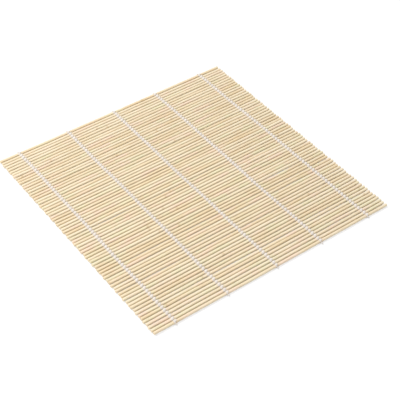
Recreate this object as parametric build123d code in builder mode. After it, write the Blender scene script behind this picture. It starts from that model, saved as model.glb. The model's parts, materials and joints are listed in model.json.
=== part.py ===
from build123d import *
import math
import os

# A bamboo rolling mat: seventy round sticks side by side, held by five cotton strings.
# Each string is two strands. Over every stick one strand passes on top and the other below,
# and in every gap the two change places, so that the gap bends like a small hinge.
# Millimetres, +Z up, sticks along X, strings along Y with the front edge at -Y.
# The origin is under the middle of the mat, on the surface that the mat lies on.

# Sticks
stick_length = 240.0
stick_diameter = 2.7
stick_sides = 16  # seventy sticks repeat, so each is planed round with flats
end_raggedness = 0.7  # how far back from the straight edge the shortest stick end is
end_raggedness_angle = 137.5  # degrees that the ragged pattern turns from stick to stick

# Rows: the sticks that one rigid stretch of the mat carries, counted from the front edge.
# The front of the mat is the tight inside of the roll, so its rows are narrower.
front_row_count = 17
front_row_sticks = 2
back_row_count = 12
back_row_sticks = 3

# Strings and their strands
string_place_shares = (-0.419, -0.211, -0.006, 0.188, 0.403)  # of the stick length, from its middle
strand_width = 1.0  # a strand is pressed flat: its section is a low triangle, flat side down
strand_height = 0.5
strand_clearance = 0.045  # between a strand and the stick that it goes round
pair_clearance = 0.35  # between the two strands of a string, where they pass in a gap
gap_slack = 0.14  # the room left in a gap beside a strand and its clearances
hinge_clearance = 0.12  # from the middle of a bending gap to the tip of each strand in it
flatness_angle = 0.01  # degrees that a strand's face may be out of plane

# Knots
knot_radius = 0.75
knot_sides = 6
knot_end_share = 0.5  # the radius of the knot's two ends, of its middle
knot_length_share = 0.85  # the knot's half length, of its radius
knot_clearance = 0.1  # between a knot and the edge stick, and a knot and its strands
tail_length = 1.5  # from the middle of the knot
tail_radius = 0.22
tail_sides = 3
tail_spread_angle = 24.0  # degrees, each tail from the line of the string
tail_droop_angle = 12.0

# Worked out from the sizes above
stick_radius = stick_diameter / 2
pass_height = stick_radius + strand_clearance + strand_height / 2
stick_pitch = 2 * pass_height + gap_slack
middle_height = pass_height + strand_height / 2
rows = [front_row_sticks] * front_row_count + [back_row_sticks] * back_row_count
stick_count = sum(rows)
front_stick_y = -(stick_count - 1) / 2 * stick_pitch
crossing_angle = math.degrees(math.asin(2 * pass_height / stick_pitch))
turn_reach = pass_height * math.tan(math.radians(crossing_angle / 2))
turn_lean = strand_height / 2 * math.tan(math.radians(crossing_angle / 2))
strand_offset = (strand_width + pair_clearance) / 2
knot_reach = stick_radius + knot_clearance + knot_radius
string_places = [share * stick_length for share in string_place_shares]


def flat_faces(*corners):
    """A face with four corners, or two with three each where the four do not lie in one plane."""
    first, second, third, fourth = corners
    lean = (second - first).cross(third - first).normalized().dot((fourth - first).normalized())
    if abs(math.degrees(math.asin(lean))) < flatness_angle:
        return [Face(Wire.make_polygon(corners))]
    return [Face(Wire.make_polygon((first, second, third))), Face(Wire.make_polygon((first, third, fourth)))]


def make_strand(stick_total, on_top_first, front_end, back_end):
    """One strand round a row of sticks, the first stick's middle at the origin.

    It turns at the front and the back of each stick and narrows to a point at both ends.
    """
    half_width = Vector(strand_width / 2, 0, 0)
    turns = []
    for number in range(stick_total):
        side = 1 if on_top_first == (number % 2 == 0) else -1
        for way in (-1, 1):
            y = number * stick_pitch + way * turn_reach
            middle = Vector(way * side * strand_offset, y, side * pass_height)
            ridge = Vector(0, way * side * turn_lean, strand_height / 2)
            turns.append((middle - ridge - half_width, middle - ridge + half_width, middle + ridge))
    faces = []
    for point, turn in ((front_end, turns[0]), (back_end, turns[-1])):
        for corner in range(3):
            faces.append(Face(Wire.make_polygon((point, turn[corner], turn[corner - 1]))))
    for turn, next_turn in zip(turns, turns[1:]):
        for corner in range(3):
            faces += flat_faces(turn[corner], turn[corner - 1], next_turn[corner - 1], next_turn[corner])
    with BuildPart() as strand:
        add(Solid(Shell(faces)))
    return strand.part


def hinge_end(side, outward):
    """Where a strand stops in a bending gap, seen from the stick beside the gap."""
    reach = stick_pitch / 2 - hinge_clearance * math.cos(math.radians(crossing_angle))
    rise = hinge_clearance * math.sin(math.radians(crossing_angle))
    return Vector(outward * side * strand_offset, outward * reach, side * rise)


def knot_end(side, outward):
    """Where a strand stops at a knot, seen from the edge stick beside the knot."""
    knot = Vector(0, outward * knot_reach, 0)
    turn = Vector(outward * side * strand_offset, outward * turn_reach, side * pass_height)
    return knot + (turn - knot).normalized() * (knot_radius + knot_clearance)


def make_row_strands(stick_total, row_number):
    """The two strands of one string along one row of the mat."""
    strands = []
    for on_top_first in (True, False):
        first_side = 1 if on_top_first else -1
        last_side = first_side if stick_total % 2 else -first_side
        front = knot_end if row_number == 0 else hinge_end
        back = knot_end if row_number == len(rows) - 1 else hinge_end
        last_stick = Vector(0, (stick_total - 1) * stick_pitch, 0)
        ends = front(first_side, -1), last_stick + back(last_side, 1)
        strands.append(make_strand(stick_total, on_top_first, *ends))
    return strands


def make_knot():
    """A knot at the front edge, its middle at the origin and its two tails along -Y."""
    half_length = knot_radius * knot_length_share
    narrowing = knot_radius * (1 - knot_end_share) * math.cos(math.pi / knot_sides)
    knot_taper = math.degrees(math.atan(narrowing / half_length))
    with BuildPart() as knot:
        with BuildSketch(Plane.XZ):
            RegularPolygon(radius=knot_radius, side_count=knot_sides)
        extrude(amount=half_length, both=True, taper=knot_taper)
        for side in (-1, 1):
            tail_line = Vector(0, -1, 0).rotate(Axis.Z, side * tail_spread_angle)
            tail_line = tail_line.rotate(Axis.X, tail_droop_angle)
            with BuildSketch(Plane(origin=(0, 0, 0), x_dir=(0, 0, 1), z_dir=tail_line)):
                RegularPolygon(radius=tail_radius, side_count=tail_sides)
            extrude(amount=tail_length)
    return knot.part


def stick_ends(number):
    """The lowest and highest X of a stick: no two neighbours are cut quite alike."""
    turn = math.radians(end_raggedness_angle * number)
    left = -stick_length / 2 + end_raggedness * (1 - math.cos(turn)) / 2
    right = stick_length / 2 - end_raggedness * (1 - math.cos(2 * turn)) / 2
    return left, right


os.makedirs("parts", exist_ok=True)
strand_shapes = {}
first_number = 1
for row_number, stick_total in enumerate(rows):
    last_number = first_number + stick_total - 1
    row_name = f"{first_number:02d}_{last_number:02d}"
    row_y = front_stick_y + (first_number - 1) * stick_pitch

    with BuildPart() as sticks:
        for number in range(first_number, last_number + 1):
            left, right = stick_ends(number)
            y = front_stick_y + (number - 1) * stick_pitch
            with BuildSketch(Plane.YZ.offset(left)):
                with Locations((y, middle_height)):
                    RegularPolygon(radius=stick_radius, side_count=stick_sides)
            extrude(amount=right - left)
    sticks.part.label = f"sticks_{row_name}"
    export_step(sticks.part, f"parts/sticks_{row_name}.step")

    shape_key = stick_total, row_number == 0, row_number == len(rows) - 1
    if shape_key not in strand_shapes:
        strand_shapes[shape_key] = make_row_strands(stick_total, row_number)
    with BuildPart() as strings:
        with Locations(*[(x, row_y, middle_height) for x in string_places]):
            for strand in strand_shapes[shape_key]:
                add(strand)
    strings.part.label = f"strings_{row_name}"
    export_step(strings.part, f"parts/strings_{row_name}.step")
    first_number = last_number + 1

knot_shape = make_knot()
knot_y = front_stick_y - knot_reach
with BuildPart() as front_knots:
    with Locations(*[(x, knot_y, middle_height) for x in string_places]):
        add(knot_shape)
front_knots.part.label = "front_knots"
export_step(front_knots.part, "parts/front_knots.step")

with BuildPart() as back_knots:
    with Locations(*[Location((x, -knot_y, middle_height), (0, 0, 180)) for x in string_places]):
        add(knot_shape)
back_knots.part.label = "back_knots"
export_step(back_knots.part, "parts/back_knots.step")
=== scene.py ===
import json
import math
import random

import bpy
import numpy as np
from mathutils import Euler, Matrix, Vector

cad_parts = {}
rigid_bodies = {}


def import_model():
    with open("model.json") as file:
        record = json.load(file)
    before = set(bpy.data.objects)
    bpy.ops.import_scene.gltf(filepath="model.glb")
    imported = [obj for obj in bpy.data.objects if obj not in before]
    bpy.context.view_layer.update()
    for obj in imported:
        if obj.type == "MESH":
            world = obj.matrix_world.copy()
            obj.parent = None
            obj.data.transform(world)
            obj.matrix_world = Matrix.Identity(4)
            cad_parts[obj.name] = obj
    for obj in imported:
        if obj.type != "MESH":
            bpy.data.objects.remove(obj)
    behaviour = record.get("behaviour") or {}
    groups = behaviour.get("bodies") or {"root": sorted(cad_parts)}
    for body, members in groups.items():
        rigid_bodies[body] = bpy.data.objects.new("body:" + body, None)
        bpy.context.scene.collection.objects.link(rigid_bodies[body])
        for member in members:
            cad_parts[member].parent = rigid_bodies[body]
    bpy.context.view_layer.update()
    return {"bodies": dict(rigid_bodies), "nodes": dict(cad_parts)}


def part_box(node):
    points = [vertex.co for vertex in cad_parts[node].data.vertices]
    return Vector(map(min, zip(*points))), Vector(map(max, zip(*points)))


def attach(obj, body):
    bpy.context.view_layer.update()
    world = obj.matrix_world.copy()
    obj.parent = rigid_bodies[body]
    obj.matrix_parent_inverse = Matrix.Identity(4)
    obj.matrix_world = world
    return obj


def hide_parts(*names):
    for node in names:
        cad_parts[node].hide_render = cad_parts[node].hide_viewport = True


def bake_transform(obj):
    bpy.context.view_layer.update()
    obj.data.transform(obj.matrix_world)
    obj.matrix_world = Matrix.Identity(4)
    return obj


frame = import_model()

bl_info = {
    "name": "Bamboo Rolling Mat",
    "version": (1, 0, 0),
    "blender": (4, 5, 0),
    "location": "3D View > Sidebar > Rolling Mat",
    "description": "Makes the sticks, twisted cotton strings and knots of a bamboo rolling mat",
    "category": "Add Mesh",
}


# What the solids say: where each stick, string and knot is

STRING_GAP = 0.005  # metres between the solids of two strings, at the least
OWN_POINTS = 1.01  # a point within so many radii of a stick's middle is the stick's own


def read_rows():
    """The rows of the mat from front to back, each with its name and the numbers of its sticks."""
    rows = []
    for body in sorted(frame["bodies"]):
        first, last = (int(word) for word in body.split("_")[1:])
        rows.append({"body": body, "name": body.split("_", 1)[1], "sticks": range(first, last + 1)})
    return rows


def node_points(node):
    """The corners of a solid, as an array."""
    vertices = frame["nodes"][node].data.vertices
    points = np.zeros(len(vertices) * 3)
    vertices.foreach_get("co", points)
    return points.reshape(-1, 3)


def read_sticks(rows):
    """Each stick's middle line and ends, by its number."""
    sticks = {}
    for row in rows:
        points = node_points(f"sticks_{row['name']}")
        low, high = points.min(0), points.max(0)
        radius = (high[2] - low[2]) / 2
        for step, number in enumerate(row["sticks"]):
            y = low[1] + radius + step * (high[1] - low[1] - 2 * radius) / (len(row["sticks"]) - 1)
            own = points[abs(points[:, 1] - y) < radius * OWN_POINTS]
            sticks[number] = {
                "y": y,
                "z": (low[2] + high[2]) / 2,
                "radius": radius,
                "left": own[:, 0].min(),
                "right": own[:, 0].max(),
            }
    return sticks


def read_string_places(rows):
    """The place of each string along the sticks."""
    along = np.sort(node_points(f"strings_{rows[0]['name']}")[:, 0])
    apart = np.flatnonzero(np.diff(along) > STRING_GAP) + 1
    return [(group.min() + group.max()) / 2 for group in np.split(along, apart)]


rows = read_rows()
sticks = read_sticks(rows)
string_places = read_string_places(rows)
stick_count = len(sticks)
pitch = (sticks[stick_count]["y"] - sticks[1]["y"]) / (stick_count - 1)
stick_radius = sticks[1]["radius"]
middle_height = sticks[1]["z"]


# Settings


class StickSettings(bpy.types.PropertyGroup):
    """How the bamboo sticks are shaped and coloured."""

    sides: bpy.props.IntProperty(name="Sides", description="Facets round a stick", default=20, min=8)
    wander: bpy.props.FloatProperty(
        name="Wander",
        description="How far a stick bows out of line between two strings",
        default=0.00019, min=0, unit="LENGTH", subtype="DISTANCE", precision=5,
    )
    shift: bpy.props.FloatProperty(
        name="Shift",
        description="How far a stick sits out of its place in the strings",
        default=0.0002, min=0, unit="LENGTH", subtype="DISTANCE", precision=5,
    )
    thinning: bpy.props.FloatProperty(
        name="Thinning",
        description="How much thinner the thinnest stick is than the full size",
        default=0.07, min=0, max=0.3, subtype="FACTOR",
    )
    edge_round: bpy.props.FloatProperty(
        name="Edge Round",
        description="How far the arris of a sawn end is rubbed back",
        default=0.00022, min=0, unit="LENGTH", subtype="DISTANCE", precision=5,
    )
    cream: bpy.props.FloatVectorProperty(
        name="Cream", description="The palest bamboo", default=(0.88, 0.778, 0.59),
        min=0, max=1, size=3, subtype="COLOR",
    )
    honey: bpy.props.FloatVectorProperty(
        name="Honey", description="The warm tan of older bamboo", default=(0.79, 0.628, 0.40),
        min=0, max=1, size=3, subtype="COLOR",
    )
    blush: bpy.props.FloatVectorProperty(
        name="Blush", description="The pinkish tan that some sticks have", default=(0.89, 0.70, 0.56),
        min=0, max=1, size=3, subtype="COLOR",
    )
    green: bpy.props.FloatVectorProperty(
        name="Green", description="The greenish pale of young bamboo", default=(0.81, 0.765, 0.53),
        min=0, max=1, size=3, subtype="COLOR",
    )
    fibre: bpy.props.FloatVectorProperty(
        name="Fibre", description="The brown of the fibre bundles", default=(0.50, 0.31, 0.13),
        min=0, max=1, size=3, subtype="COLOR",
    )


class StringSettings(bpy.types.PropertyGroup):
    """How the cotton strings are laid and coloured."""

    reach: bpy.props.FloatProperty(
        name="Reach",
        description="From the string's middle to a strand in the gap between two sticks",
        default=0.00076, min=0, unit="LENGTH", subtype="DISTANCE", precision=5,
    )
    height: bpy.props.FloatProperty(
        name="Height",
        description="Thickness of a strand where it is pressed flat on a stick",
        default=0.0006, min=0, unit="LENGTH", subtype="DISTANCE", precision=5,
    )
    width: bpy.props.FloatProperty(
        name="Width",
        description="Width of a strand where it is pressed flat on a stick",
        default=0.0027, min=0, unit="LENGTH", subtype="DISTANCE", precision=5,
    )
    gap_thickness: bpy.props.FloatProperty(
        name="Gap Thickness",
        description="Thickness of a strand between two sticks",
        default=0.0005, min=0, unit="LENGTH", subtype="DISTANCE", precision=5,
    )
    gap_width: bpy.props.FloatProperty(
        name="Gap Width",
        description="Width of a strand between two sticks, along them",
        default=0.0015, min=0, unit="LENGTH", subtype="DISTANCE", precision=5,
    )
    waver: bpy.props.FloatProperty(
        name="Waver",
        description="How far a string leaves its line to the right before it comes back",
        default=0.0008, min=0, unit="LENGTH", subtype="DISTANCE", precision=5,
    )
    plies: bpy.props.IntProperty(name="Plies", description="Yarns in a strand", default=3, min=2)
    lay: bpy.props.FloatProperty(
        name="Lay",
        description="Length in which the yarns go once round the strand",
        default=0.0034, min=0.0005, unit="LENGTH", subtype="DISTANCE", precision=5,
    )
    steps: bpy.props.IntProperty(
        name="Steps", description="Rings of a yarn from one stick to the next", default=18, min=6
    )
    cotton: bpy.props.FloatVectorProperty(
        name="Cotton", description="The off-white of the cotton", default=(0.82, 0.762, 0.702),
        min=0, max=1, size=3, subtype="COLOR",
    )
    # Grey for handled cotton, and also the colour of the shade painted into the grooves between yarns.
    soiled_and_groove_shade: bpy.props.FloatVectorProperty(
        name="Soiled", description="The grey of cotton that has been handled", default=(0.69, 0.63, 0.565),
        min=0, max=1, size=3, subtype="COLOR",
    )


class KnotSettings(bpy.types.PropertyGroup):
    """How the end knots are tied."""

    size: bpy.props.FloatProperty(
        name="Size",
        description="From the knot's middle to the outer strand's middle line",
        default=0.00046, min=0, unit="LENGTH", subtype="DISTANCE", precision=5,
    )
    strand: bpy.props.FloatProperty(
        name="Strand",
        description="Thickness of a strand that is drawn tight in the knot",
        default=0.00058, min=0, unit="LENGTH", subtype="DISTANCE", precision=5,
    )
    frayed_fibres: bpy.props.IntProperty(
        name="Frayed Fibres", description="Loose fibres at each cut end", default=9, min=0
    )


class StageSettings(bpy.types.PropertyGroup):
    """The floor, the light and the camera."""

    camera_place: bpy.props.FloatVectorProperty(
        name="Camera Place", description="Where the camera stands",
        default=(-0.3969, -0.5387, 0.6238), size=3, unit="LENGTH", subtype="TRANSLATION",
    )
    camera_turn: bpy.props.FloatVectorProperty(
        name="Camera Turn", description="Which way the camera looks",
        default=tuple(math.radians(angle) for angle in (46.185, -0.772, -36.413)),
        size=3, unit="ROTATION", subtype="EULER",
    )
    camera_lens: bpy.props.FloatProperty(
        name="Camera Lens", description="Focal length on a sensor 36 mm wide", default=95.3, min=1,
        unit="CAMERA",
    )
    floor_size: bpy.props.FloatProperty(
        name="Floor Size", description="Side of the square floor", default=6.0, min=0.5,
        unit="LENGTH", subtype="DISTANCE",
    )
    sky: bpy.props.FloatProperty(
        name="Sky", description="Strength of the even light from all round", default=0.44, min=0
    )
    key: bpy.props.FloatProperty(
        name="Key", description="Power of the large lamp above", default=23.1, min=0, unit="POWER"
    )
    fill: bpy.props.FloatProperty(
        name="Fill", description="Power of the weak lamp in front", default=2.2, min=0, unit="POWER"
    )


# Meshes

TINY = 1e-12  # keeps a vector without length from being divided by nothing


class MeshParts:
    """Gathers tubes into one mesh, with the values that the materials read at each corner."""

    def __init__(self, *value_names):
        self.value_names = value_names
        self.points = []
        self.faces = []
        self.values = {name: [] for name in value_names}
        self.count = 0

    def add_tube(self, rings, values):
        """Rings of points (rings, sides, 3), joined side to side and closed at both ends."""
        ring_count, sides = rings.shape[:2]
        grid = self.count + np.arange(ring_count * sides).reshape(ring_count, sides)
        around = np.roll(grid, -1, axis=1)
        quads = np.stack([grid[:-1], around[:-1], around[1:], grid[1:]], axis=-1).reshape(-1, 4)
        self.faces += quads.tolist()
        self.faces += [grid[0, ::-1].tolist(), grid[-1].tolist()]
        self.points.append(rings.reshape(-1, 3))
        for name in self.value_names:
            self.values[name].append(np.asarray(values[name], float).reshape(ring_count * sides, -1))
        self.count += ring_count * sides

    def make(self, name, material):
        """The finished object, smooth but for the ends of its tubes."""
        mesh = bpy.data.meshes.new(name)
        mesh.from_pydata(np.concatenate(self.points).tolist(), [], self.faces)
        for value_name in self.value_names:
            column = np.concatenate(self.values[value_name])
            kind, field = ("FLOAT", "value") if column.shape[1] == 1 else ("FLOAT_VECTOR", "vector")
            layer = mesh.attributes.new(value_name, kind, "POINT")
            layer.data.foreach_set(field, column.astype(np.float32).ravel())
        sizes = np.array([len(face) for face in self.faces])
        mesh.polygons.foreach_set("use_smooth", sizes == 4)
        mesh.materials.append(material)
        mesh.validate()
        mesh.update()
        piece = bpy.data.objects.new(name, mesh)
        bpy.context.scene.collection.objects.link(piece)
        return piece


def unit(vectors):
    """Each vector at length one."""
    return vectors / np.maximum(np.linalg.norm(vectors, axis=-1, keepdims=True), TINY)


def length_along(line):
    """The length of a line of points from its start to each point."""
    return np.concatenate([[0], np.cumsum(np.linalg.norm(np.diff(line, axis=0), axis=1))])


def once_round(sides):
    """The angle of each side of a ring."""
    return np.arange(sides) / sides * 2 * np.pi


def line_axes(line, level):
    """Two directions square to a line at each of its points, the first as near as can be to level."""
    along = unit(np.gradient(line, axis=0))
    across = unit(level - (level * along).sum(-1, keepdims=True) * along)
    return across, np.cross(across, along)


def tube_rings(line, radii, sides, level):
    """Round rings along a line of points. level is a direction that is roughly square to the line."""
    across, over = line_axes(line, level)
    turn = once_round(sides)
    spokes = across[:, None] * np.cos(turn)[None, :, None] - over[:, None] * np.sin(turn)[None, :, None]
    return line[:, None] + spokes * np.reshape(radii, (-1, 1, 1))


# Sticks

STICK_SEED = 7919
JOINT_SEED = 104729
OWN_SHIFT = 0.7  # of the shift: the most that a stick lies aside at all its strings alike
STRING_SHIFT = 0.4  # of the shift: the most that it changes from string to string
BOW_SPREAD = 0.5  # of the wander: bows to the side
LIFT_SPREAD = 0.35  # of the wander: bows up and down
FEW_THIN = 1.5  # a power above 1 leaves most sticks near the full size
LOBES = ((2, 0.016), (3, 0.009))  # how many lobes, and the most that they are out of round
ANY_TURN = 6.3  # radians, once round
END_SLOPE = 0.09  # the most that a sawn end leans
GRAIN_LENGTH = 9  # metres of grain, and each stick and knot starts somewhere in it

# The rings of a sawn end, from its face inward: how far in, as a share of the rubbed arris, how wide,
# as a share of the stick, and how much of the sawn face's colour they have.
END_RINGS = ((0, 0.55, 1), (0, 0.86, 1), (0.35, 0.955, 0.6), (1, 1, 0.1), (2.2, 1, 0))
BODY_RINGS = 44
BODY_INSET = 0.003  # metres from the end of a stick to the first even ring

# The joints of the bamboo, where the stick is a little thicker
JOINTED_SHARE = 0.45  # of the sticks
JOINT_WIDTH = 0.0009
JOINT_SWELL = 0.022  # of the radius
JOINT_RINGS = (-3, -1.4, -0.6, 0, 0.6, 1.4, 3)  # in steps from the joint
JOINT_STEP = 0.0006
JOINT_INSET = 0.004  # metres from the end of a stick to the first of these rings
JOINT_ROOM = 0.001  # metres on both sides of these rings without an even one

# How a stick swells and narrows along its length: how much of the radius, radians for each metre,
# and how many times the stick's own offset is added.
SWELLS = ((0.008, 55, 1), (0.006, 131, 2))
SWELL_ROOM = 0.008  # of the radius, taken off it for the swells


def stick_nature(number):
    """What sets one stick apart: how it lies, how thick and round it is, its ends and its tint."""
    settings = bpy.context.scene.rolling_mat_sticks
    chance = random.Random(number * STICK_SEED)
    stretches = len(string_places) + 1
    aside = chance.uniform(-OWN_SHIFT, OWN_SHIFT)
    shifts = [aside + chance.uniform(-STRING_SHIFT, STRING_SHIFT) for _ in string_places]
    return {
        "shifts": [shift * settings.shift for shift in shifts],
        "bows": [chance.gauss(0, BOW_SPREAD) * settings.wander for _ in range(stretches)],
        "lifts": [chance.gauss(0, LIFT_SPREAD) * settings.wander for _ in range(stretches)],
        "radius": stick_radius * (1 - chance.random() ** FEW_THIN * settings.thinning),
        "lobes": [chance.uniform(0, most) for _, most in LOBES],
        "turns": [chance.uniform(0, ANY_TURN) for _ in LOBES],
        "slopes": [chance.uniform(-1, 1) * END_SLOPE for _ in range(4)],
        "tint": (chance.random(), chance.random(), chance.random()),
        "offset": chance.uniform(0, GRAIN_LENGTH),
    }


def stick_line(stick, own, along):
    """The middle line of a stick at places along it: shifted at each string and bowed in between."""
    sway = np.interp(along, string_places, own["shifts"])
    posts = [stick["left"], *string_places, stick["right"]]
    lift = np.zeros_like(along)
    for index, (start, end) in enumerate(zip(posts[:-1], posts[1:])):
        share = np.clip((along - start) / (end - start), 0, 1)
        hump = np.sin(np.pi * share) ** 2
        if index == 0:
            hump = np.cos(np.pi / 2 * share) ** 2
        if index == len(posts) - 2:
            hump = np.sin(np.pi / 2 * share) ** 2
        inside = (along >= start) & (along <= end)
        sway = sway + np.where(inside, hump * own["bows"][index], 0)
        lift = lift + np.where(inside, hump * own["lifts"][index], 0)
    return np.stack([along, stick["y"] + sway, stick["z"] + lift], axis=-1)


def body_places(stick, joint):
    """Where the rings between the two ends of a stick lie: evenly, and closer together at a joint."""
    near_joint = [] if joint is None else [joint + step * JOINT_STEP for step in JOINT_RINGS]
    start, end = stick["left"] + JOINT_INSET, stick["right"] - JOINT_INSET
    inner = [x for x in near_joint if start < x < end]
    even = np.linspace(stick["left"] + BODY_INSET, stick["right"] - BODY_INSET, BODY_RINGS)
    if inner:
        start, end = inner[0] - JOINT_ROOM, inner[-1] + JOINT_ROOM
        even = [x for x in even if not start < x < end]
    return sorted([*even, *inner])


def add_stick(parts, number):
    """One round stick with sawn and rubbed ends. Some have a joint of the bamboo, faintly showing."""
    settings = bpy.context.scene.rolling_mat_sticks
    stick = sticks[number]
    own = stick_nature(number)
    chance = random.Random(number * JOINT_SEED)
    joint = chance.uniform(stick["left"], stick["right"]) if chance.random() < JOINTED_SHARE else None
    body = body_places(stick, joint)
    inward, narrowed, sawn_face = np.array(END_RINGS, float).T
    ends = inward * settings.edge_round
    along = np.concatenate([stick["left"] + ends, body, stick["right"] - ends[::-1]])
    shares = np.concatenate([narrowed, np.ones(len(body)), narrowed[::-1]])
    sawn = np.concatenate([sawn_face, np.zeros(len(body)), sawn_face[::-1]])
    ring = np.zeros_like(along) if joint is None else np.exp(-(((along - joint) / JOINT_WIDTH) ** 2))
    swell = sum(much * np.sin(along * pace + times * own["offset"]) for much, pace, times in SWELLS)
    radii = own["radius"] * shares * (1 - SWELL_ROOM + swell + JOINT_SWELL * ring)
    turn = once_round(settings.sides)
    section = np.ones_like(turn)
    for (count, _), much, start in zip(LOBES, own["lobes"], own["turns"]):
        section = section + much * np.cos(count * (turn - start))
    spoke = np.stack([np.zeros_like(turn), np.cos(turn), np.sin(turn)], axis=-1) * section[:, None]
    local = spoke[None] * radii[:, None, None]
    rings = stick_line(stick, own, along)[:, None] + local

    # Each sawn end leans, and is set back by as much as it leans to the side.
    left = (along < 0)[:, None]
    to_middle = np.where(left, 1, -1)
    slope_y = np.where(left, own["slopes"][0], own["slopes"][2])
    slope_z = np.where(left, own["slopes"][1], own["slopes"][3])
    lean = to_middle * (slope_y * local[..., 1] + slope_z * local[..., 2])
    set_back = to_middle * np.abs(slope_y) * own["radius"]
    rings[..., 0] += (lean + set_back) * (sawn[:, None] > 0)

    grain = local.copy()
    grain[..., 0] = along[:, None] + own["offset"]
    shape = rings.shape[:2]
    parts.add_tube(rings, {
        "grain": grain,
        "tint": np.broadcast_to(own["tint"], (*shape, 3)),
        "sawn": np.broadcast_to(sawn[:, None], shape),
        "joint": np.broadcast_to(ring[:, None], shape),
    })


class ROLLINGMAT_OT_sticks(bpy.types.Operator):
    """Make the bamboo sticks, one piece for each row"""

    bl_idname = "rolling_mat.sticks"
    bl_label = "Make Sticks"

    def execute(self, context):
        bamboo = bamboo_material()
        for row in rows:
            parts = MeshParts("grain", "tint", "sawn", "joint")
            for number in row["sticks"]:
                add_stick(parts, number)
            piece = parts.make(f"bamboo_{row['name']}", bamboo)
            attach(piece, row["body"])
            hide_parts(f"sticks_{row['name']}")
        return {"FINISHED"}


# Strings

WAVER_PACE = 34  # radians of the long wave for each metre of string
WAVER_SHIFT = 1.9  # radians from one string to the next
SHORT_WAVES = 2.3  # for each long one
FLAT_SHARE = 0.75  # of the way round a stick, from its top, in which a strand is pressed quite flat
SIDE_SHARE = 0.36  # of the way from stick to stick, in which a strand moves to its side of the string
STRING_SEED = 2.6
PARTNER_SEED = 1.3

# The yarns of a strand. A yarn's half width and half height are shares of the strand's sizes.
YARN_WIDTH = 0.27
YARN_HEIGHT = 0.3
YARN_SIDES = 8
YARN_LUMPS = 0.07  # how much a yarn swells and narrows
LUMP_PACE = 2900  # radians for each metre of strand
LUMP_SHIFT = 2.1  # radians from one yarn to the next
GRAIN_SHIFT = 0.37  # metres of grain from one yarn to the next
GRAIN_RADIUS = 0.0003


class Wrap:
    """The way of a strand from the top of a stick: round it, and off in a straight line.

    The line ends at the height of the stick's middle, in the middle of a gap or in a knot.
    """

    def __init__(self, distance):
        self.radius = middle_height - bpy.context.scene.rolling_mat_strings.height / 2
        self.distance = distance
        self.leave = math.acos(self.radius / distance)
        self.arc = self.radius * (math.pi / 2 - self.leave)
        self.straight = math.sqrt(distance**2 - self.radius**2)
        self.length = self.arc + self.straight

    def place(self, gone):
        """How far from the stick's middle, outward and up, a strand is when it has gone some way."""
        if gone <= self.arc:
            angle = math.pi / 2 - gone / self.radius
            return self.radius * math.cos(angle), self.radius * math.sin(angle)
        start_y, start_z = self.radius * math.cos(self.leave), self.radius * math.sin(self.leave)
        part = (gone - self.arc) / self.straight
        return start_y + part * (self.distance - start_y), start_z * (1 - part)


def string_place(string_number, y):
    """Where a string crosses the sticks at a place y, for no string lies quite straight."""
    waver = bpy.context.scene.rolling_mat_strings.waver
    turn = y * WAVER_PACE + string_number * WAVER_SHIFT
    share = 0.5 + 0.3 * math.sin(turn) + 0.2 * math.sin(SHORT_WAVES * turn + 1)
    return string_places[string_number] + waver * share


def strand_seed(string_number, parity):
    """A number of its own for each strand."""
    return string_number * STRING_SEED + parity * PARTNER_SEED


def lay_strand(string_number, parity, first_step, last_step):
    """The middle line of a strand, and how flat it is pressed, from step to step along the mat.

    The steps count from the first stick. Parity is 0 for the strand that passes over the first stick
    and 1 for its partner.
    """
    settings = bpy.context.scene.rolling_mat_strings
    wrap = Wrap(pitch / 2)
    shifts = [stick_nature(number)["shifts"][string_number] for number in sticks]
    places = np.arange(first_step, last_step + 1) / settings.steps
    line, flat = [], []
    for place in places:
        before = min(int(place), stick_count - 2)
        share = place - before
        from_pass = min(share, 1 - share)
        gone = from_pass * 2 * wrap.length
        y, z = wrap.place(gone)
        if share > 0.5:
            y, z = pitch - y, -z
        side = 1 if (before + parity) % 2 == 0 else -1
        sideways = math.sin(math.pi / 2 * min(1, from_pass / SIDE_SHARE))
        y += sticks[before + 1]["y"] + np.interp(place, range(stick_count), shifts)
        x = string_place(string_number, y) + side * settings.reach * sideways
        line.append([x, y, middle_height + side * z])
        flat.append(np.clip((wrap.length - gone) / (wrap.length - FLAT_SHARE * wrap.arc), 0, 1))
    return np.array(line), np.array(flat), places


def strand_section(pressed):
    """The width and the thickness of a strand, from free in a gap, 0, to pressed on a stick, 1."""
    settings = bpy.context.scene.rolling_mat_strings
    wide = settings.gap_width + (settings.width - settings.gap_width) * pressed
    high = settings.gap_thickness + (settings.height - settings.gap_thickness) * pressed
    return wide, high


def yarn_grain(run, ply, seed, sides):
    """The coordinate that a yarn's fibres follow, along the yarn and round it."""
    shape = len(run), sides
    along = run[:, None] + ply * GRAIN_SHIFT + seed
    turn = once_round(sides)
    return np.stack([
        np.broadcast_to(along, shape),
        np.broadcast_to(np.cos(turn) * GRAIN_RADIUS, shape),
        np.broadcast_to(np.sin(turn) * GRAIN_RADIUS, shape),
    ], axis=-1)


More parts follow.
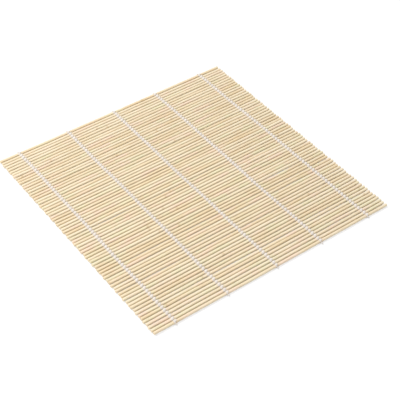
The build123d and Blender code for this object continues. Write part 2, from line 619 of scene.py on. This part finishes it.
def twist_yarns(parts, line, wide, high, run, seed):
    """Lays the yarns of a strand round its middle line, in a section that is wide and high."""
    settings = bpy.context.scene.rolling_mat_strings
    across, over = line_axes(line, np.array([1.0, 0.0, 0.0]))
    yarn_wide, yarn_high = wide * YARN_WIDTH, high * YARN_HEIGHT
    round_yarn = once_round(YARN_SIDES)
    for ply in range(settings.plies):
        turn = 2 * np.pi * (ply / settings.plies + run / settings.lay)
        out_x = (wide / 2 - yarn_wide) * np.cos(turn)
        out_z = (high / 2 - yarn_high) * np.sin(turn)
        lumps = 1 + YARN_LUMPS * np.sin(run * LUMP_PACE + ply * LUMP_SHIFT + seed)
        side_x = out_x[:, None] + (yarn_wide * lumps)[:, None] * np.cos(round_yarn)
        side_z = out_z[:, None] - (yarn_high * lumps)[:, None] * np.sin(round_yarn)
        rings = line[:, None] + across[:, None] * side_x[..., None] + over[:, None] * side_z[..., None]
        # How far out from the strand's middle each point is; the cotton paints shade where this is low, in
        # the grooves between yarns.
        depth = np.hypot(side_x / wide[:, None], side_z / high[:, None]) * 2
        parts.add_tube(rings, {"grain": yarn_grain(run, ply, seed, YARN_SIDES), "depth": depth})


def string_run(place):
    """The length of strand laid from the first stick to a place, which is counted in sticks."""
    return place * 2 * Wrap(pitch / 2).length


def cut_step(row):
    """Where a string piece ends inside a row, counted in steps from the first stick."""
    settings = bpy.context.scene.rolling_mat_strings
    numbers = row["sticks"]
    return round((numbers[0] + numbers[-1] - 2) / 2 * settings.steps)


class ROLLINGMAT_OT_strings(bpy.types.Operator):
    """Make the twisted cotton strings, one piece for each gap that bends"""

    bl_idname = "rolling_mat.strings"
    bl_label = "Make Strings"

    def execute(self, context):
        settings = context.scene.rolling_mat_strings
        cotton = cotton_material()
        last_step = (stick_count - 1) * settings.steps
        cuts = [0] + [cut_step(row) for row in rows[1:-1]] + [last_step]
        for index, (front, back) in enumerate(zip(rows[:-1], rows[1:])):
            parts = MeshParts("grain", "depth")
            for string_number in range(len(string_places)):
                for parity in (0, 1):
                    line, flat, places = lay_strand(string_number, parity, cuts[index], cuts[index + 1])
                    seed = strand_seed(string_number, parity)
                    twist_yarns(parts, line, *strand_section(flat), string_run(places), seed)
            piece = parts.make(f"cotton_{front['name']}", cotton)
            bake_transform(piece)
            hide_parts(f"strings_{front['name']}")
            if index == len(rows) - 2:
                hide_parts(f"strings_{back['name']}")
        return {"FINISHED"}


# Knots

KNOT_SEED = 100
KNOT_ROOM = 0.003  # metres from the string's middle, wider than a knot
KNOT_INSET = 0.00072  # metres from the inner edge of the solid knot to the middle of the modelled one

# A strand's last turn, round the edge stick and into the knot
LAST_STEPS = 12
LAST_SHARE = 0.93  # of the straight way, for the rest is inside the knot
LAST_TAPER = 0.55  # of the way round the edge stick, at its end, in which the strand is less and less flat
LAST_SIDE = 0.8  # of the strings' reach

# The knot itself, a strand in three loops
LOOP_RINGS = 49
LOOP_DEPTH = 1.35  # how far the loops reach along the string, in thirds of the knot's size
LOOP_SIZES = (0.95, 1.08)
ANY_ROLL = 6.28  # radians, once round
LOOP_LEVEL = (0.2, 0.35, 1.0)  # a direction that the strand never quite follows
LOOP_YARN = 0.26  # a yarn's radius, as a share of the strand's thickness
LOOP_YARN_SIDES = 6
LOOP_TWIST = 1.1  # a strand drawn tight is twisted more

# The two cut ends, angles in degrees
TAIL_SPREADS = (17, 31)
TAIL_DROOPS = (8, 19)
TAIL_LENGTHS = (0.55, 0.76)  # of the way from the knot's middle to the tips of the solid tails
TAIL_START = 0.1  # of the length, inside the knot
TAIL_RINGS = 9
TAIL_SAG = 0.00012
TAIL_THICKNESS = 0.92  # of the strand's in the knot
FRAYED = 0.35  # 0 for a whole strand, 1 for one that comes quite apart at its tip
FRAYED_SPREAD = 2  # of its own width, that a strand gains when it comes quite apart
FRAYED_THINNING = 0.25  # of a yarn's radius, that is then lost at the tip

# The loose fibres at a cut end
FIBRE_ROOT = 3  # rings from the tip of the cut end
FIBRE_LEAN = 0.22  # how far a fibre leans away from the cut end, as a slope
FIBRE_SCATTER = 0.00013  # metres from the strand's middle to where it starts
FIBRE_BEND = 0.00012  # metres that its tip is bent aside
FIBRE_LENGTHS = (0.12, 0.24)  # of the cut end's length
FIBRE_RINGS = 4
FIBRE_RADII = (0.00004, 0.00001)  # at its root and its tip
FIBRE_SIDES = 3
FIBRE_LEVEL = (0.3, 0.1, 1.0)  # a direction roughly square to the fibres
OFF_GROUND = 0.0002


def scatter(chance, spread):
    """A random step sideways and up or down."""
    return np.array([chance.gauss(0, 1), 0, chance.gauss(0, 1)]) * spread


def add_knot_strand(parts, line, thickness, seed, frayed=0.0):
    """A tight round strand that follows a bent line. A frayed one comes apart towards its end."""
    strings = bpy.context.scene.rolling_mat_strings
    run = length_along(line)
    done = run / run[-1]
    along = unit(np.gradient(line, axis=0))
    across = unit(np.cross(along, LOOP_LEVEL))
    over = np.cross(across, along)
    yarn_radius = thickness * LOOP_YARN
    spread = 1 + frayed * done**2 * FRAYED_SPREAD
    out = (thickness / 2 - yarn_radius) * spread
    radii = yarn_radius * (1 - FRAYED_THINNING * frayed * done)
    for ply in range(strings.plies):
        turn = 2 * np.pi * (ply / strings.plies + run / strings.lay * LOOP_TWIST)
        centre = line + across * (out * np.cos(turn))[:, None] + over * (out * np.sin(turn))[:, None]
        rings = tube_rings(centre, radii, LOOP_YARN_SIDES, over)
        # How far out from the strand's middle each point is; the cotton paints shade where this is low, in
        # the grooves between yarns.
        depth = np.linalg.norm(rings - line[:, None], axis=-1) / (0.5 * thickness * spread)[:, None]
        parts.add_tube(rings, {"grain": yarn_grain(run, ply, seed, LOOP_YARN_SIDES), "depth": depth})


def add_last_turns(parts, string_number, outward, middle):
    """The last turn of both strands of a string, round the edge stick and into the knot."""
    knots = bpy.context.scene.rolling_mat_knots
    strings = bpy.context.scene.rolling_mat_strings
    edge = 1 if outward < 0 else stick_count
    stick_y = sticks[edge]["y"] + stick_nature(edge)["shifts"][string_number]
    wrap = Wrap(abs(middle[1] - stick_y))
    for parity in (0, 1):
        side = 1 if (edge - 1 + parity) % 2 == 0 else -1
        line, flat, drawn = [], [], []
        for gone in np.linspace(0, wrap.arc + wrap.straight * LAST_SHARE, LAST_STEPS + 1):
            y, z = wrap.place(gone)
            sideways = math.sin(math.pi * gone / wrap.length) * LAST_SIDE
            x = middle[0] + outward * side * strings.reach * sideways
            line.append([x, stick_y + outward * y, middle_height + side * z])
            flat.append(np.clip((1 - gone / wrap.arc) / LAST_TAPER, 0, 1))
            drawn.append(max(0.0, (gone - wrap.arc) / wrap.straight))
        line, drawn = np.array(line), np.array(drawn)
        wide, high = strand_section(np.array(flat))
        wide = wide + (knots.strand - wide) * drawn
        high = high + (knots.strand - high) * drawn
        laid = length_along(line)
        run = -laid if outward < 0 else string_run(stick_count - 1) + laid
        twist_yarns(parts, line, wide, high, run, strand_seed(string_number, parity))


def add_loops(parts, middle, outward, chance):
    """The knot itself: a strand in the three loops of a trefoil, rolled a random way."""
    knots = bpy.context.scene.rolling_mat_knots
    turn = np.linspace(0, 2 * np.pi, LOOP_RINGS)
    roll = chance.uniform(0, ANY_ROLL)
    loop = np.stack([
        np.sin(turn) + 2 * np.sin(2 * turn),
        -LOOP_DEPTH * np.sin(3 * turn) * outward,
        np.cos(turn) - 2 * np.cos(2 * turn),
    ], axis=-1) * knots.size / 3
    spin = np.array([[math.cos(roll), 0, -math.sin(roll)], [0, 1, 0], [math.sin(roll), 0, math.cos(roll)]])
    loop = loop @ spin.T * chance.uniform(*LOOP_SIZES)
    add_knot_strand(parts, middle + loop, knots.strand, chance.uniform(0, GRAIN_LENGTH))


def add_fibre(parts, root, way, tail_length, reach, chance):
    """A loose fibre at a cut end, kept off the ground and inside the knot's reach along the mat."""
    lean = way + scatter(chance, FIBRE_LEAN)
    start = root + scatter(chance, FIBRE_SCATTER)
    bend = scatter(chance, FIBRE_BEND)
    share = np.linspace(0, 1, FIBRE_RINGS)[:, None]
    length = tail_length * chance.uniform(*FIBRE_LENGTHS)
    fibre = start + unit(lean) * share * length + bend * share**2
    fibre[:, 1] = np.clip(fibre[:, 1], *reach)
    fibre[:, 2] = np.maximum(fibre[:, 2], OFF_GROUND)
    radii = np.linspace(*FIBRE_RADII, FIBRE_RINGS)
    rings = tube_rings(fibre, radii, FIBRE_SIDES, np.array(FIBRE_LEVEL))
    parts.add_tube(rings, {"grain": np.zeros_like(rings), "depth": np.ones(rings.shape[:2])})


def add_tail(parts, middle, side, outward, room, reach, chance):
    """A cut end of the string, on one side of the knot, and its loose fibres."""
    knots = bpy.context.scene.rolling_mat_knots
    spread = math.radians(chance.uniform(*TAIL_SPREADS)) * side
    droop = math.radians(chance.uniform(*TAIL_DROOPS))
    way = np.array([math.sin(spread), outward * math.cos(spread) * math.cos(droop), -math.sin(droop)])
    length = room * chance.uniform(*TAIL_LENGTHS) / abs(way[1])
    share = np.linspace(TAIL_START, 1, TAIL_RINGS)[:, None]
    tail = middle + way * share * length + np.array([0, 0, -TAIL_SAG]) * share**2
    seed = chance.uniform(0, GRAIN_LENGTH)
    add_knot_strand(parts, tail, knots.strand * TAIL_THICKNESS, seed, frayed=FRAYED)
    for _ in range(knots.frayed_fibres):
        add_fibre(parts, tail[-FIBRE_ROOT], way, length, reach, chance)


def add_knot(parts, string_number, outward):
    """The knot at one end of a string: the last turn of each strand, the knot and its cut ends."""
    edge = 1 if outward < 0 else stick_count
    lowest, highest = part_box("front_knots" if outward < 0 else "back_knots")
    points = node_points("front_knots" if outward < 0 else "back_knots")
    own_y = points[abs(points[:, 0] - string_places[string_number]) < KNOT_ROOM, 1]
    inner, tips = (own_y.max(), own_y.min()) if outward < 0 else (own_y.min(), own_y.max())
    x = string_place(string_number, sticks[edge]["y"])
    middle = np.array([x, inner + outward * KNOT_INSET, middle_height])
    room = abs(tips - middle[1])
    chance = random.Random(string_number * 31 + outward * 7 + KNOT_SEED)
    add_last_turns(parts, string_number, outward, middle)
    add_loops(parts, middle, outward, chance)
    for side in (-1, 1):
        add_tail(parts, middle, side, outward, room, (lowest[1], highest[1]), chance)


class ROLLINGMAT_OT_knots(bpy.types.Operator):
    """Make the knots with their cut ends at the front and the back edge"""

    bl_idname = "rolling_mat.knots"
    bl_label = "Make Knots"

    def execute(self, context):
        cotton = cotton_material()
        for name, row, outward in (("front", rows[0], -1), ("back", rows[-1], 1)):
            parts = MeshParts("grain", "depth")
            for string_number in range(len(string_places)):
                add_knot(parts, string_number, outward)
            piece = parts.make(f"{name}_cotton_knots", cotton)
            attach(piece, row["body"])
            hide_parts(f"{name}_knots")
        return {"FINISHED"}


# Materials


def add_node(tree, kind, place, **values):
    """A node at a place in the tree, with values for its sockets by name and its own options."""
    node = tree.nodes.new(kind)
    node.location = place
    for name, value in values.items():
        if hasattr(node, name):
            setattr(node, name, value)
        else:
            node.inputs[name.replace("_", " ").title()].default_value = value
    return node


def streaks_group():
    """Fine streaks along the first axis of a coordinate, for bamboo grain and for cotton fibre."""
    if "Streaks" in bpy.data.node_groups:
        return bpy.data.node_groups["Streaks"]
    tree = bpy.data.node_groups.new("Streaks", "ShaderNodeTree")
    face = tree.interface
    face.new_socket("Coordinate", in_out="INPUT", socket_type="NodeSocketVector")
    fineness = face.new_socket("Fineness", in_out="INPUT", socket_type="NodeSocketFloat")
    fineness.default_value = 4000
    stretch = face.new_socket("Stretch", in_out="INPUT", socket_type="NodeSocketFloat")
    stretch.default_value = 40
    face.new_socket("Streak", in_out="OUTPUT", socket_type="NodeSocketFloat")
    inside = add_node(tree, "NodeGroupInput", (-700, 0))
    slow = add_node(tree, "ShaderNodeMath", (-500, -120), operation="DIVIDE")
    scale = add_node(tree, "ShaderNodeCombineXYZ", (-320, -120))
    stretched = add_node(tree, "ShaderNodeVectorMath", (-140, 0), operation="MULTIPLY")
    noise = add_node(tree, "ShaderNodeTexNoise", (40, 0), scale=1.0, detail=3.0, roughness=0.62)
    outside = add_node(tree, "NodeGroupOutput", (260, 0))
    link = tree.links.new
    link(inside.outputs["Fineness"], slow.inputs[0])
    link(inside.outputs["Stretch"], slow.inputs[1])
    link(slow.outputs[0], scale.inputs[0])
    link(inside.outputs["Fineness"], scale.inputs[1])
    link(inside.outputs["Fineness"], scale.inputs[2])
    link(inside.outputs["Coordinate"], stretched.inputs[0])
    link(scale.outputs[0], stretched.inputs[1])
    link(stretched.outputs[0], noise.inputs["Vector"])
    link(noise.outputs["Fac"], outside.inputs["Streak"])
    return tree


def drift_group():
    """A slow change along the first axis of a coordinate, between 0 and 1."""
    if "Slow Drift" in bpy.data.node_groups:
        return bpy.data.node_groups["Slow Drift"]
    tree = bpy.data.node_groups.new("Slow Drift", "ShaderNodeTree")
    face = tree.interface
    face.new_socket("Coordinate", in_out="INPUT", socket_type="NodeSocketVector")
    pace = face.new_socket("Pace", in_out="INPUT", socket_type="NodeSocketFloat")
    pace.default_value = 30
    face.new_socket("Drift", in_out="OUTPUT", socket_type="NodeSocketFloat")
    inside = add_node(tree, "NodeGroupInput", (-700, 0))
    first = add_node(tree, "ShaderNodeSeparateXYZ", (-500, 0))
    paced = add_node(tree, "ShaderNodeMath", (-320, 0), operation="MULTIPLY")
    noise = add_node(tree, "ShaderNodeTexNoise", (-140, 0), noise_dimensions="1D", detail=2.0, scale=1.0)
    spread = add_node(tree, "ShaderNodeMapRange", (60, 0), from_min=0.3, from_max=0.7)
    outside = add_node(tree, "NodeGroupOutput", (260, 0))
    link = tree.links.new
    link(inside.outputs["Coordinate"], first.inputs[0])
    link(first.outputs["X"], paced.inputs[0])
    link(inside.outputs["Pace"], paced.inputs[1])
    link(paced.outputs[0], noise.inputs["W"])
    link(noise.outputs["Fac"], spread.inputs["Value"])
    link(spread.outputs["Result"], outside.inputs["Drift"])
    return tree


def add_value(tree, place, name):
    """A value that the mesh carries at each of its points."""
    return add_node(tree, "ShaderNodeAttribute", place, attribute_name=name)


def add_pattern(tree, group, place, grain, **values):
    """The pattern of a node group along the grain, with values for the group's own sockets."""
    node = add_node(tree, "ShaderNodeGroup", place, node_tree=group)
    tree.links.new(grain.outputs["Vector"], node.inputs["Coordinate"])
    for name, value in values.items():
        node.inputs[name.title()].default_value = value
    return node.outputs[0]


def mix_colours(tree, place, share, first, second):
    """Mixes two colours, each a socket or a plain colour. share is a socket or a number."""
    node = add_node(tree, "ShaderNodeMix", place, data_type="RGBA")
    for index, given in ((0, share), (6, first), (7, second)):
        if isinstance(given, bpy.types.NodeSocket):
            tree.links.new(given, node.inputs[index])
        elif index == 0:
            node.inputs[0].default_value = given
        else:
            node.inputs[index].default_value = (*given[:3], 1)
    return node.outputs[2]


def map_value(tree, place, value, given, wanted):
    """A value moved from a given range to a wanted one and held inside it."""
    node = add_node(tree, "ShaderNodeMapRange", place)
    tree.links.new(value, node.inputs["Value"])
    node.inputs["From Min"].default_value, node.inputs["From Max"].default_value = given
    node.inputs["To Min"].default_value, node.inputs["To Max"].default_value = wanted
    return node.outputs["Result"]


def multiply(tree, place, value, other):
    """Two values multiplied."""
    node = add_node(tree, "ShaderNodeMath", place, operation="MULTIPLY")
    tree.links.new(value, node.inputs[0])
    if isinstance(other, bpy.types.NodeSocket):
        tree.links.new(other, node.inputs[1])
    else:
        node.inputs[1].default_value = other
    return node.outputs[0]


def new_material(name):
    """An empty material with its shader."""
    material = bpy.data.materials.new(name)
    material.use_nodes = True
    tree = material.node_tree
    shader = tree.nodes["Principled BSDF"]
    shader.location = (900, 0)
    tree.nodes["Material Output"].location = (1200, 0)
    return material, tree, shader


def add_relief(tree, shader, place, streak, depth):
    """A fine relief that follows the streaks."""
    bump = add_node(tree, "ShaderNodeBump", place, strength=0.5, distance=depth)
    tree.links.new(streak, bump.inputs["Height"])
    tree.links.new(bump.outputs[0], shader.inputs["Normal"])


def side_colour(tree, grain, streak):
    """The side of a stick: its own tint, stretches pinker and greener than others, brown fibres."""
    settings = bpy.context.scene.rolling_mat_sticks
    link = tree.links.new
    tint = add_value(tree, (-1500, 0), "tint")
    tints = add_node(tree, "ShaderNodeSeparateXYZ", (-1320, 0))
    link(tint.outputs["Vector"], tints.inputs[0])
    broad = add_pattern(tree, streaks_group(), (-1200, 340), grain, fineness=1500.0, stretch=60.0)
    slow = add_pattern(tree, drift_group(), (-1200, 200), grain, pace=23.0)
    pink = add_pattern(tree, drift_group(), (-1200, 60), grain, pace=31.0)
    pale = add_pattern(tree, drift_group(), (-1200, -80), grain, pace=41.0)

    warm = add_node(tree, "ShaderNodeMath", (-1000, 60), operation="MULTIPLY_ADD")
    link(slow, warm.inputs[0])
    warm.inputs[1].default_value = 0.7
    link(tints.outputs["X"], warm.inputs[2])
    warmth = map_value(tree, (-820, 60), warm.outputs[0], (0.4, 1.6), (0.0, 0.8))
    colour = mix_colours(tree, (-640, 200), warmth, settings.cream, settings.honey)
    blush = map_value(tree, (-820, -120), pink, (0.5, 0.85), (0.0, 0.85))
    blush = multiply(tree, (-640, -120), blush, tints.outputs["Y"])
    colour = mix_colours(tree, (-460, 200), blush, colour, settings.blush)
    young = map_value(tree, (-820, -280), pale, (0.5, 0.85), (0.0, 0.85))
    young = multiply(tree, (-640, -280), young, tints.outputs["Z"])
    colour = mix_colours(tree, (-280, 200), young, colour, settings.green)

    joint = add_value(tree, (-1500, -400), "joint")
    ringed = multiply(tree, (-280, -120), joint.outputs["Fac"], 0.4)
    colour = mix_colours(tree, (-100, 200), ringed, colour, settings.fibre)
    bands = map_value(tree, (-280, 420), broad, (0.35, 0.7), (0.0, 0.28))
    colour = mix_colours(tree, (80, 200), bands, colour, settings.honey)
    threads = map_value(tree, (-100, 560), streak, (0.54, 0.7), (0.0, 0.44))
    return mix_colours(tree, (260, 200), threads, colour, settings.fibre)


def sawn_colour(tree, grain):
    """The face of a sawn end: tan, dotted with the brown ends of its fibres."""
    settings = bpy.context.scene.rolling_mat_sticks
    across = add_node(tree, "ShaderNodeVectorMath", (-280, -480), operation="MULTIPLY")
    across.inputs[1].default_value = (0, 1, 1)
    pores = add_node(tree, "ShaderNodeTexVoronoi", (-100, -480), scale=3400.0, feature="F1")
    tree.links.new(grain.outputs["Vector"], across.inputs[0])
    tree.links.new(across.outputs[0], pores.inputs["Vector"])
    dots = map_value(tree, (80, -480), pores.outputs["Distance"], (0.18, 0.4), (1.0, 0.25))
    return mix_colours(tree, (260, -480), dots, settings.honey, settings.fibre)


def bamboo_material():
    """Pale bamboo, faintly shiny, with streaks along the stick and browner sawn ends."""
    if "Bamboo" in bpy.data.materials:
        return bpy.data.materials["Bamboo"]
    material, tree, shader = new_material("Bamboo")
    grain = add_value(tree, (-1500, 200), "grain")
    sawn = add_value(tree, (-1500, -200), "sawn")
    streak = add_pattern(tree, streaks_group(), (-1200, 500), grain, fineness=5200.0, stretch=46.0)
    side, end = side_colour(tree, grain, streak), sawn_colour(tree, grain)
    end_share = multiply(tree, (260, -260), sawn.outputs["Fac"], 0.4)
    colour = mix_colours(tree, (480, 200), end_share, side, end)
    tree.links.new(colour, shader.inputs["Base Color"])
    rough = map_value(tree, (480, 0), streak, (0.3, 0.75), (0.36, 0.62))
    tree.links.new(rough, shader.inputs["Roughness"])
    add_relief(tree, shader, (660, -260), streak, 0.00006)
    shader.inputs["Specular IOR Level"].default_value = 0.22
    return material


def cotton_material():
    """Off-white cotton: matte, greyed a little here and there where handled, with shade painted into the
    grooves between its yarns.
    """
    if "Cotton" in bpy.data.materials:
        return bpy.data.materials["Cotton"]
    settings = bpy.context.scene.rolling_mat_strings
    material, tree, shader = new_material("Cotton")
    grain = add_value(tree, (-1100, 200), "grain")
    depth = add_value(tree, (-1100, 0), "depth")
    fibre = add_pattern(tree, streaks_group(), (-860, 360), grain, fineness=9000.0, stretch=9.0)
    slow = add_pattern(tree, drift_group(), (-860, 200), grain, pace=55.0)
    handled = map_value(tree, (-640, 200), slow, (0.2, 1.0), (0.0, 0.55))
    colour = mix_colours(tree, (-440, 200), handled, settings.cotton, settings.soiled_and_groove_shade)
    # Painted shade: points deep inside a strand, between its yarns, are darkened towards the grey.
    painted_groove_shade = map_value(tree, (-640, 0), depth.outputs["Fac"], (0.3, 0.8), (0.25, 0.0))
    colour = mix_colours(tree, (-240, 200), painted_groove_shade, colour, settings.soiled_and_groove_shade)
    lint = map_value(tree, (-640, 420), fibre, (0.42, 0.7), (0.0, 0.3))
    colour = mix_colours(tree, (-40, 200), lint, colour, settings.soiled_and_groove_shade)
    tree.links.new(colour, shader.inputs["Base Color"])
    rough = map_value(tree, (-40, 0), fibre, (0.3, 0.7), (0.82, 0.96))
    tree.links.new(rough, shader.inputs["Roughness"])
    add_relief(tree, shader, (200, -260), fibre, 0.00005)
    shader.inputs["Specular IOR Level"].default_value = 0.12
    shader.inputs["Sheen Weight"].default_value = 0.12
    shader.inputs["Sheen Roughness"].default_value = 0.5
    return material


# Stage

# The lamps, in metres. Both shine at the middle of the mat.
KEY_PLACE = (-0.45, 0.42, 1.45)
KEY_SIZE = 0.8
FILL_PLACE = (-1.0, -0.7, 0.4)
FILL_SIZE = 1.0

SENSOR_WIDTH = 36  # millimetres
NEAREST_SEEN = 0.01
FARTHEST_SEEN = 20

# The floor that the camera sees. What isn't seen of it is clear.
SEEN_SHARE = 0.28  # near the mat
FADING = (0.25, 0.6)  # metres from the mat's middle, from this share to nothing
COVER_HEIGHT = 0.004  # metres above the floor in which a stick covers it
COVERED = (0.12, 0.3)  # how open to the air the floor is there, from wholly covered to free
DEPTH = 0.15  # metres below the floor in which the mat makes it clear
OPENED = (0.9, 1.0)  # how open the space below is there, from a clear floor to a closed one


def floor_material():
    """The plain pale floor, mixed with a clear one for the camera so that its shadow stays light.

    The clear share grows to the whole with the distance from the mat, and where the mat is bent down
    through the floor. It goes to nothing right under the sticks, where the gaps show the floor.
    """
    material, tree, shader = new_material("Pale Floor")
    shader.inputs["Roughness"].default_value = 0.9
    shader.inputs["Specular IOR Level"].default_value = 0
    link = tree.links.new
    rays = add_node(tree, "ShaderNodeLightPath", (400, 300))
    tone = mix_colours(tree, (600, 100), rays.outputs["Is Camera Ray"], (0.9, 0.9, 0.9), (1.0, 1.0, 1.0))
    link(tone, shader.inputs["Base Color"])
    place = add_node(tree, "ShaderNodeNewGeometry", (0, 800))
    away = add_node(tree, "ShaderNodeVectorMath", (200, 800), operation="LENGTH")
    link(place.outputs["Position"], away.inputs[0])
    open_floor = map_value(tree, (400, 800), away.outputs["Value"], FADING, (SEEN_SHARE, 0.0))
    above = add_node(tree, "ShaderNodeAmbientOcclusion", (200, 600), distance=COVER_HEIGHT)
    covered = map_value(tree, (400, 600), above.outputs["AO"], COVERED, (1.0, 0.0))
    below = add_node(tree, "ShaderNodeAmbientOcclusion", (200, 400), inside=True, distance=DEPTH)
    closed = map_value(tree, (400, 400), below.outputs["AO"], OPENED, (0.0, 1.0))
    shown = add_node(tree, "ShaderNodeMath", (600, 700), operation="MAXIMUM")
    link(open_floor, shown.inputs[0])
    link(covered, shown.inputs[1])
    seen = multiply(tree, (780, 600), shown.outputs[0], closed)
    share = add_node(tree, "ShaderNodeMix", (850, 400), data_type="FLOAT")
    link(rays.outputs["Is Camera Ray"], share.inputs[0])
    share.inputs[2].default_value = 1.0
    link(seen, share.inputs[3])
    clear = add_node(tree, "ShaderNodeBsdfTransparent", (900, 200))
    mix = add_node(tree, "ShaderNodeMixShader", (1050, 0))
    link(share.outputs[0], mix.inputs[0])
    link(clear.outputs[0], mix.inputs[1])
    link(shader.outputs[0], mix.inputs[2])
    link(mix.outputs[0], tree.nodes["Material Output"].inputs["Surface"])
    return material


def make_world(sky):
    """Even light from all round, and plain white behind everything."""
    world = bpy.data.worlds.new("White Studio")
    world.use_nodes = True
    tree = world.node_tree
    tree.nodes.clear()
    rays = add_node(tree, "ShaderNodeLightPath", (-600, 200))
    light = add_node(tree, "ShaderNodeBackground", (-220, 0))
    light.inputs["Color"].default_value = (1, 1, 1, 1)
    light.inputs["Strength"].default_value = sky
    white = add_node(tree, "ShaderNodeBackground", (-220, -140))
    white.inputs["Color"].default_value = (1, 1, 1, 1)
    white.inputs["Strength"].default_value = 1
    mix = add_node(tree, "ShaderNodeMixShader", (0, 0))
    out = add_node(tree, "ShaderNodeOutputWorld", (200, 0))
    link = tree.links.new
    link(rays.outputs["Is Camera Ray"], mix.inputs[0])
    link(light.outputs[0], mix.inputs[1])
    link(white.outputs[0], mix.inputs[2])
    link(mix.outputs[0], out.inputs["Surface"])
    bpy.context.scene.world = world


def add_lamp(name, power, size, place):
    """A large square lamp that shines at the middle of the mat."""
    data = bpy.data.lights.new(name, "AREA")
    data.energy = power
    data.size = size
    lamp = bpy.data.objects.new(name, data)
    lamp.location = place
    lamp.rotation_euler = (-Vector(place)).to_track_quat("-Z", "Y").to_euler()
    bpy.context.scene.collection.objects.link(lamp)


class ROLLINGMAT_OT_stage(bpy.types.Operator):
    """Make the floor, the light and the camera"""

    bl_idname = "rolling_mat.stage"
    bl_label = "Make Stage"

    def execute(self, context):
        settings = context.scene.rolling_mat_stage
        half = settings.floor_size / 2
        mesh = bpy.data.meshes.new("floor")
        corners = [(-half, -half, 0), (half, -half, 0), (half, half, 0), (-half, half, 0)]
        mesh.from_pydata(corners, [], [(0, 1, 2, 3)])
        mesh.materials.append(floor_material())
        floor = bpy.data.objects.new("floor", mesh)
        context.scene.collection.objects.link(floor)
        # The mat can be bent down through the floor, and the light still has to reach it there.
        floor.visible_shadow = False
        make_world(settings.sky)
        add_lamp("key_lamp", settings.key, KEY_SIZE, KEY_PLACE)
        add_lamp("fill_lamp", settings.fill, FILL_SIZE, FILL_PLACE)
        camera_data = bpy.data.cameras.new("camera")
        camera_data.sensor_width = SENSOR_WIDTH
        camera_data.lens = settings.camera_lens
        camera_data.clip_start = NEAREST_SEEN
        camera_data.clip_end = FARTHEST_SEEN
        camera = bpy.data.objects.new("camera", camera_data)
        camera.location = settings.camera_place
        camera.rotation_euler = Euler(settings.camera_turn)
        context.scene.collection.objects.link(camera)
        context.scene.camera = camera
        context.scene.view_settings.view_transform = "Standard"
        return {"FINISHED"}


# Panel and registration


class ROLLINGMAT_PT_panel(bpy.types.Panel):
    """Shows the settings for each part of the rolling mat, with a button that makes it"""

    bl_idname = "ROLLINGMAT_PT_panel"
    bl_label = "Rolling Mat"
    bl_space_type = "VIEW_3D"
    bl_region_type = "UI"
    bl_category = "Rolling Mat"

    def draw(self, context):
        for group, operator in (
            (context.scene.rolling_mat_sticks, ROLLINGMAT_OT_sticks),
            (context.scene.rolling_mat_strings, ROLLINGMAT_OT_strings),
            (context.scene.rolling_mat_knots, ROLLINGMAT_OT_knots),
            (context.scene.rolling_mat_stage, ROLLINGMAT_OT_stage),
        ):
            box = self.layout.box()
            for name in group.__annotations__:
                box.prop(group, name)
            box.operator(operator.bl_idname)


SETTINGS = {
    "rolling_mat_sticks": StickSettings,
    "rolling_mat_strings": StringSettings,
    "rolling_mat_knots": KnotSettings,
    "rolling_mat_stage": StageSettings,
}
CLASSES = (
    *SETTINGS.values(),
    ROLLINGMAT_OT_stage,
    ROLLINGMAT_OT_sticks,
    ROLLINGMAT_OT_strings,
    ROLLINGMAT_OT_knots,
    ROLLINGMAT_PT_panel,
)


def register():
    """Registers the classes and puts the settings on the scene."""
    for made in CLASSES:
        bpy.utils.register_class(made)
    for name, group in SETTINGS.items():
        setattr(bpy.types.Scene, name, bpy.props.PointerProperty(type=group))


def unregister():
    """Takes the settings and the classes away."""
    for name in SETTINGS:
        delattr(bpy.types.Scene, name)
    for made in reversed(CLASSES):
        bpy.utils.unregister_class(made)


def main():
    """Makes the whole mat and its stage."""
    register()
    bpy.ops.rolling_mat.stage()
    bpy.ops.rolling_mat.sticks()
    bpy.ops.rolling_mat.strings()
    bpy.ops.rolling_mat.knots()


if __name__ == "__main__":
    main()
